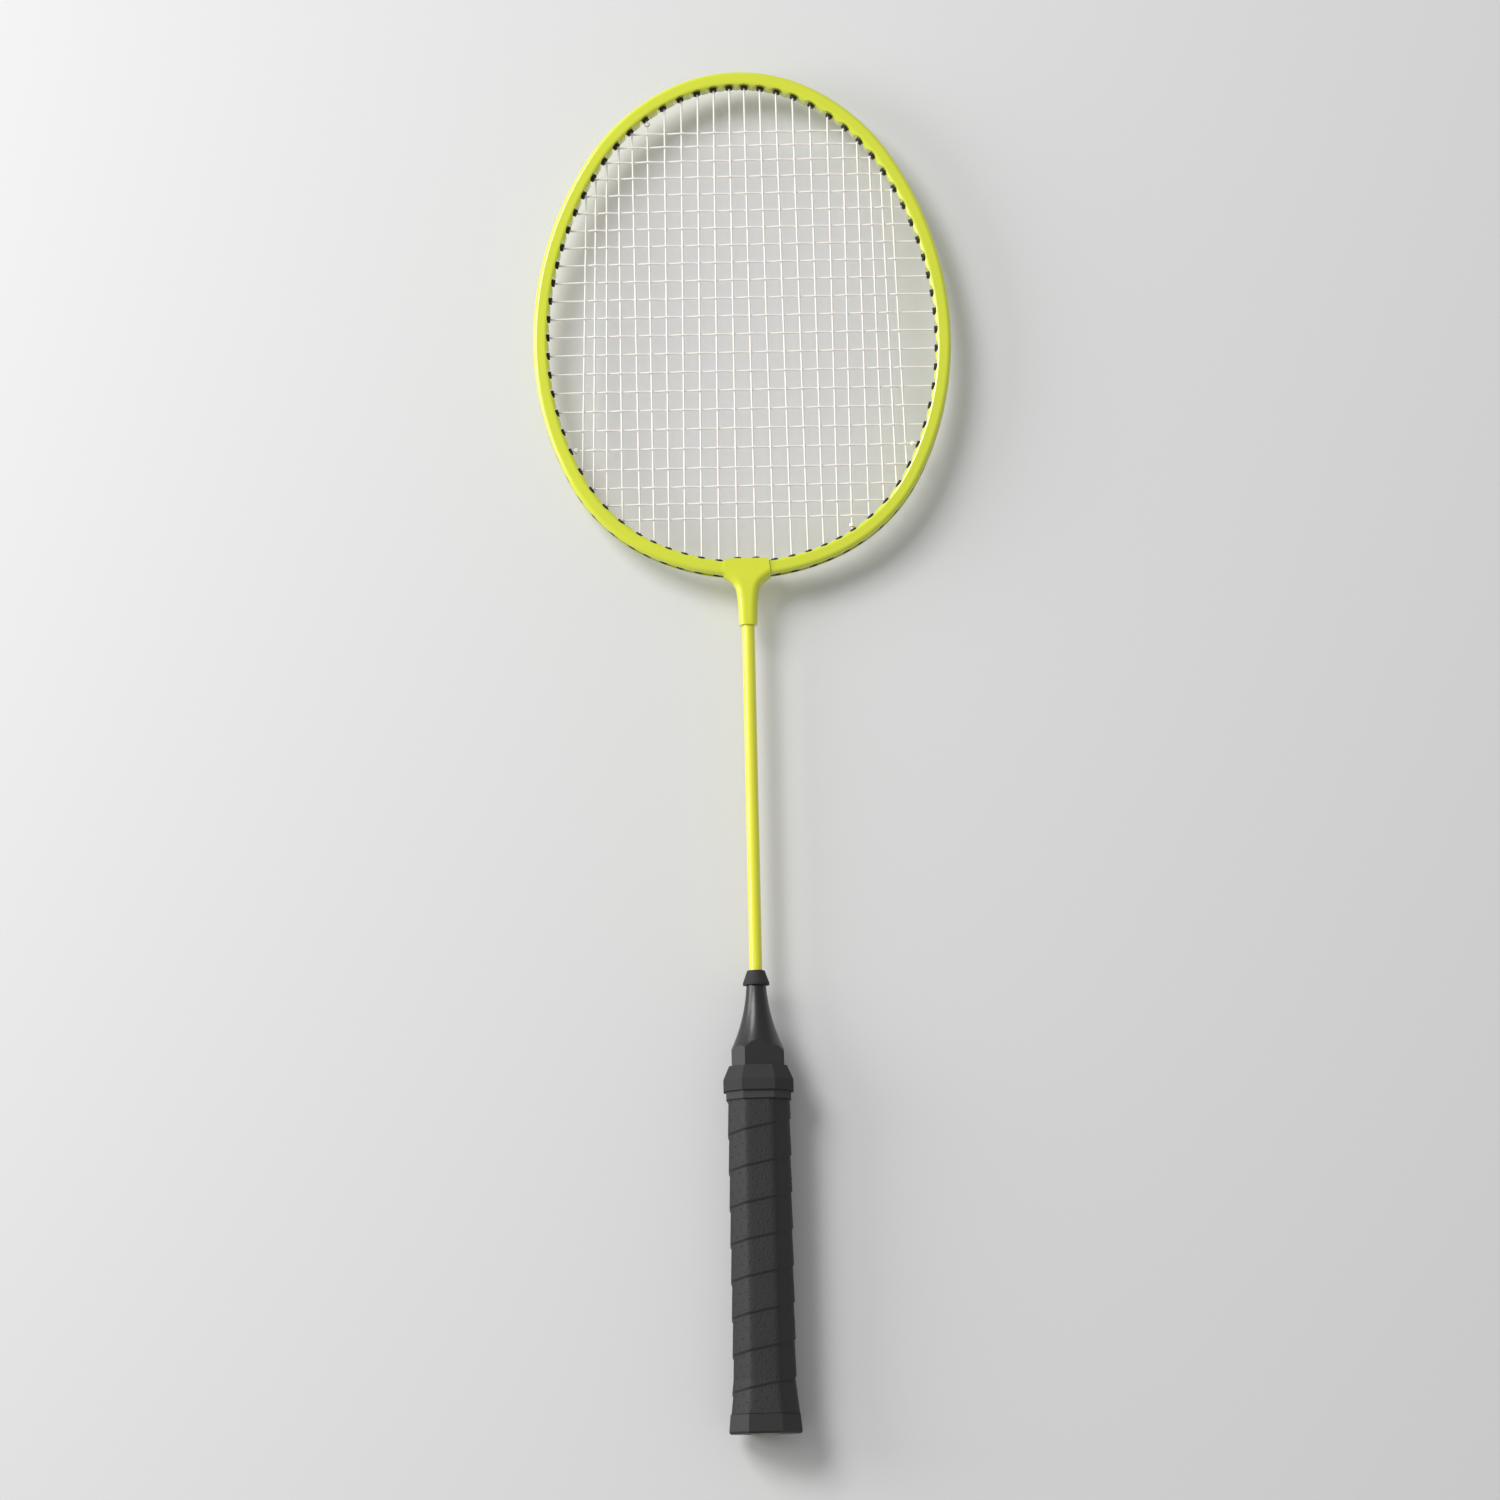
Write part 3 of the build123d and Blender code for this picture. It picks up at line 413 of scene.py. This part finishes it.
main_guide = woven_guide("main_guide", mains, crosses, 1)
cross_guide = woven_guide("cross_guide", crosses, mains, -1)
print("guide points:", len(main_guide.vertices), "and", len(cross_guide.vertices))

# %% [markdown]
# A Geometry Nodes tree turns every guide line into cord: the line becomes a smooth curve, and a
# round profile is swept along it. One tree serves both strings, with the radius and number of
# sides as its inputs.

# %% The cord tree
def node_tree(name, inputs):
    """A Geometry Nodes tree with geometry in and out and (label, kind, default) inputs."""
    tree = bpy.data.node_groups.new(name, "GeometryNodeTree")
    tree.interface.new_socket("Geometry", in_out="INPUT", socket_type="NodeSocketGeometry")
    for label, kind, default in inputs:
        socket = tree.interface.new_socket(label, in_out="INPUT", socket_type="NodeSocket" + kind)
        if default is not None:
            socket.default_value = default
    tree.interface.new_socket("Geometry", in_out="OUTPUT", socket_type="NodeSocketGeometry")
    return tree, tree.nodes.new("NodeGroupInput"), tree.nodes.new("NodeGroupOutput")


def run_tree(name, mesh, tree, values):
    """Runs a tree on a mesh and returns the result as a plain piece at the origin."""
    holder = placed(name + "_guide", mesh)
    modifier = holder.modifiers.new("nodes", "NODES")
    modifier.node_group = tree
    for item in tree.interface.items_tree:
        if item.in_out == "INPUT" and item.name in values:
            modifier[item.identifier] = values[item.name]
    graph = bpy.context.evaluated_depsgraph_get()
    made = bpy.data.meshes.new_from_object(holder.evaluated_get(graph))
    made.name = name
    bpy.data.objects.remove(holder)
    return placed(name, made)


CORD_SIDES, CORD_SMOOTHING = 8, 3
CORD_SHARE = 0.97            # radius against the layer height, so that crossing cords stay clear
CORD_RADIUS = CORD_SHARE * layer_height
cord_tree, start, end = node_tree("lay_cord", [("Radius", "Float", CORD_RADIUS),
                                               ("Sides", "Int", CORD_SIDES),
                                               ("Smoothing", "Int", CORD_SMOOTHING),
                                               ("Material", "Material", None)])
to_curve = add(cord_tree, "GeometryNodeMeshToCurve", Mesh=start.outputs["Geometry"])
smooth = add(cord_tree, "GeometryNodeCurveSplineType", spline_type="CATMULL_ROM",
             Curve=to_curve.outputs[0])
finer = add(cord_tree, "GeometryNodeSetSplineResolution", Geometry=smooth.outputs[0],
            Resolution=start.outputs["Smoothing"])
profile = add(cord_tree, "GeometryNodeCurvePrimitiveCircle", Resolution=start.outputs["Sides"],
              Radius=start.outputs["Radius"])
swept = add(cord_tree, "GeometryNodeCurveToMesh", Curve=finer.outputs[0],
            Profile_Curve=profile.outputs[0], Fill_Caps=True)
shaded = add(cord_tree, "GeometryNodeSetShadeSmooth", Geometry=swept.outputs[0])
real = add(cord_tree, "GeometryNodeRealizeInstances", Geometry=shaded.outputs[0])
dressed = add(cord_tree, "GeometryNodeSetMaterial", Geometry=real.outputs[0],
              Material=start.outputs["Material"])
cord_tree.links.new(dressed.outputs[0], end.inputs[0])
print("cord tree has", len(cord_tree.nodes), "nodes")

# %% [markdown]
# The bends at the grommets, the loops in the outer groove and the knots are already right in the
# CAD mesh. They are kept: the faces of the long runs are cut away and the open ends closed, and
# the woven runs join on.

# %% Woven mains and crosses
WELD = 0.001 * MM            # points of the CAD mesh closer than this are one


def keep_ends(node, target):
    """Adds a string node's bends, loops and knots, without its long runs, to a piece."""
    work = bmesh.new()
    work.from_mesh(node.data)
    bmesh.ops.remove_doubles(work, verts=work.verts, dist=WELD)
    long = [f for f in work.faces if max(e.calc_length() for e in f.edges) > LONG_RUN]
    bmesh.ops.delete(work, geom=long, context="FACES")
    rims = [e for e in work.edges if e.is_boundary]
    bmesh.ops.holes_fill(work, edges=rims, sides=0)
    for face in work.faces:
        face.smooth = True
        face.material_index = 0
    work.from_mesh(target.data)
    bmesh.ops.recalc_face_normals(work, faces=work.faces)
    work.to_mesh(target.data)
    work.free()
    target.data.update()


for label, guide, node in (("woven_mains", main_guide, "main_string"),
                           ("woven_crosses", cross_guide, "cross_string")):
    piece = run_tree(label, guide, cord_tree, {"Radius": CORD_RADIUS, "Sides": CORD_SIDES,
                                               "Smoothing": CORD_SMOOTHING,
                                               "Material": finishes["nylon"]})
    keep_ends(nodes[node], piece)
    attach(piece, "root")
    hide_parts(node)
    print(label, len(piece.data.polygons), "faces")

# %% [markdown]
# ## The wrapped grip
# The grip is one long strip of perforated leathercloth, wound up the handle so that each turn
# covers the edge of the last. A strip could be wound as a thin band, but a closed sleeve whose
# thickness steps along a spiral looks the same and stays one closed shape. A handle is an
# octagon with softened corners, and the sleeve follows it. Its UV map runs along and across the
# strip, so that the punched holes follow the winding.

# %% Spiral grip
WRAP_TURNS = 9.0
EDGE_STEP = 0.55 * MM        # how far the strip's edge stands above the turn it covers
EDGE_WIDTH = 0.045           # share of a turn in which the edge rises
CORNER_SHARPNESS = 26.0
OUTER_BEVEL = 7.5 * MM
INNER_BEVEL = 7.2 * MM
SLEEVE_WALL = 1.2 * MM
TAPE_SEAT = 0.4 * MM         # the finishing tape lies this far outside the strip
FLARE_LENGTH = 15.6 * MM
FLARE_GROWTH = 1.3 * MM
AROUND, ALONG = 144, 420


def octagon_reach(angle, half_x, half_z, bevel):
    """Distance from the axis to a softened octagon, at an angle round the handle."""
    c, s = abs(math.cos(angle)), abs(math.sin(angle))
    flat = (half_x + half_z - bevel) / math.sqrt(2)
    parts = (c / half_x, s / half_z, (c + s) / math.sqrt(2) / flat)
    return sum(p ** CORNER_SHARPNESS for p in parts) ** (-1 / CORNER_SHARPNESS)


def edge_lift(phase):
    """Height of the strip above its thinnest place, over one turn of the spiral."""
    if phase < EDGE_WIDTH:
        return EDGE_STEP * phase / EDGE_WIDTH
    return EDGE_STEP * (1 - phase) / (1 - EDGE_WIDTH)


def sleeve_ring(y, half_x, half_z, bevel, lift):
    """One ring of points round the handle; lift gives the height above it at a share of a turn."""
    ring = []
    for column in range(AROUND):
        angle = 2 * math.pi * column / AROUND
        reach = octagon_reach(angle, half_x, half_z, bevel) + lift(column / AROUND)
        ring.append((reach * math.cos(angle), y, reach * math.sin(angle)))
    return ring


def spiral_wrap(start_y, end_y, half_x, half_z):
    """The sleeve's mesh: rings along the handle, then an inner face that closes both ends."""
    points = []
    for row in range(ALONG + 1):
        share = row / ALONG
        y = start_y + (end_y - start_y) * share
        flare = max(0.0, 1 - (y - start_y) / FLARE_LENGTH) * FLARE_GROWTH
        points += sleeve_ring(y, half_x + flare, half_z + flare, OUTER_BEVEL,
                              lambda turn: edge_lift((share * WRAP_TURNS + turn) % 1.0))
    for y, flare in ((end_y, 0.0), (start_y, FLARE_GROWTH)):
        points += sleeve_ring(y, half_x + flare - SLEEVE_WALL, half_z + flare - SLEEVE_WALL,
                              INNER_BEVEL, lambda turn: 0.0)
    rings = [range(AROUND * row, AROUND * (row + 1)) for row in range(ALONG + 3)]
    rings.append(rings[0])
    faces = []
    for first, second in zip(rings, rings[1:]):
        for column in range(AROUND):
            after = (column + 1) % AROUND
            faces.append((first[column], second[column], second[after], first[after]))
    mesh = bpy.data.meshes.new("spiral_grip")
    mesh.from_pydata(points, [], faces)
    strip = mesh.uv_layers.new(name="strip")
    for face in mesh.polygons:
        row, column = divmod(face.index, AROUND)
        for corner, (up, over) in zip(face.loop_indices, ((0, 0), (1, 0), (1, 1), (0, 1))):
            turn = (column + over) / AROUND
            strip.data[corner].uv = (turn, (row + up) / ALONG * WRAP_TURNS + turn)
        face.use_smooth = True
    return mesh


wrap_low, wrap_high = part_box("grip_wrap")
_, tape_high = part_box("grip_tape")
half_x, half_z = (tape_high[axis] - TAPE_SEAT - EDGE_STEP for axis in (0, 2))
grip = placed("spiral_grip", spiral_wrap(wrap_low[1], wrap_high[1], half_x, half_z))
grip.data.materials.append(finishes["grip_wrap"])
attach(grip, "root")
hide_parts("grip_wrap")
print("spiral grip:", len(grip.data.polygons), "faces")

# %% [markdown]
# ## Floor, light and camera
# The racket lies on a plain pale floor, a little darker than the strings so that they show. A
# large soft lamp from the upper left lights it, a low one on the left draws a bright highlight
# along the tube's outer edge, and an even pale world fills the shadows. The camera looks down at
# the string plane from about two metres, tilted ten degrees towards the handle's side, so that
# the inside of the crown and its grommets come into view.

# %% Floor
FLOOR_HALF = 4.0
FLOOR_GAP = 0.2 * MM         # air under the racket's lowest place
FLOOR_TONE = 0.72
FLOOR_ROUGHNESS, FLOOR_SPECULAR = 0.9, 0.1
floor_z = cad_low[2] - FLOOR_GAP
corners = [(x * FLOOR_HALF, y * FLOOR_HALF, floor_z) for x, y in ((-1, -1), (1, -1), (1, 1), (-1, 1))]
floor_mesh = bpy.data.meshes.new("floor")
floor_mesh.from_pydata(corners, [], [(0, 1, 2, 3)])
floor = placed("floor", floor_mesh)
floor_paint = bpy.data.materials.new("floor_pale")
floor_paint.use_nodes = True
paint = floor_paint.node_tree.nodes["Principled BSDF"].inputs
paint["Base Color"].default_value = (FLOOR_TONE, FLOOR_TONE, FLOOR_TONE, 1)
paint["Roughness"].default_value = FLOOR_ROUGHNESS
paint["Specular IOR Level"].default_value = FLOOR_SPECULAR
floor.data.materials.append(floor_paint)
print("floor at", round(floor_z / MM, 2), "mm")

# %% Light
KEY_OFFSET, KEY_SIZE, KEY_POWER = Vector((-1.9, 1.7, 2.6)), 1.5, 82.0
LEFT_OFFSET, LEFT_SIZE, LEFT_POWER = Vector((-1.6, 0.3, 0.55)), 0.9, 16.0
WORLD_STRENGTH = 0.40


def soft_lamp(name, place, aim, size, power):
    """A square area lamp at a place, turned to aim at a point."""
    data = bpy.data.lights.new(name, "AREA")
    data.size, data.energy = size, power
    lamp = placed(name, data)
    lamp.location = place
    lamp.rotation_euler = (aim - place).to_track_quat("-Z", "Y").to_euler()


middle = Vector(((cad_low[k] + cad_high[k]) / 2 for k in range(3)))
soft_lamp("key_lamp", middle + KEY_OFFSET, middle, KEY_SIZE, KEY_POWER)
soft_lamp("left_strip", middle + LEFT_OFFSET, middle, LEFT_SIZE, LEFT_POWER)
world = bpy.data.worlds.new("studio")
bpy.context.scene.world = world
world.use_nodes = True
sky = world.node_tree.nodes["Background"].inputs
sky["Color"].default_value = (1, 1, 1, 1)
sky["Strength"].default_value = WORLD_STRENGTH
bpy.context.scene.view_settings.view_transform = "Standard"
print("two soft lamps and a pale world")

# %% Camera
FRAME_WIDTH = 0.724          # width of the view at the racket's middle
DISTANCE = 2.1
VIEW_TILT = math.radians(10.0)
LEAN = math.radians(1.26)    # the racket's turn in the view
AIM = Vector((-0.5 * MM, cad_high[1] / 2 - 7.2 * MM, 0.0))
turn = Matrix.Rotation(VIEW_TILT, 3, "X") @ Matrix.Rotation(-LEAN, 3, "Z")
camera_data = bpy.data.cameras.new("camera")
camera_data.lens = camera_data.sensor_width * DISTANCE / FRAME_WIDTH
camera = placed("camera", camera_data)
camera.location = AIM + turn @ Vector((0, 0, DISTANCE))
camera.rotation_euler = turn.to_euler()
bpy.context.scene.camera = camera
print("camera lens", round(camera_data.lens, 1), "mm")

# %% Sizes
bpy.context.view_layer.update()
print("CAD box", [round(v, 4) for v in (*cad_low, *cad_high)])
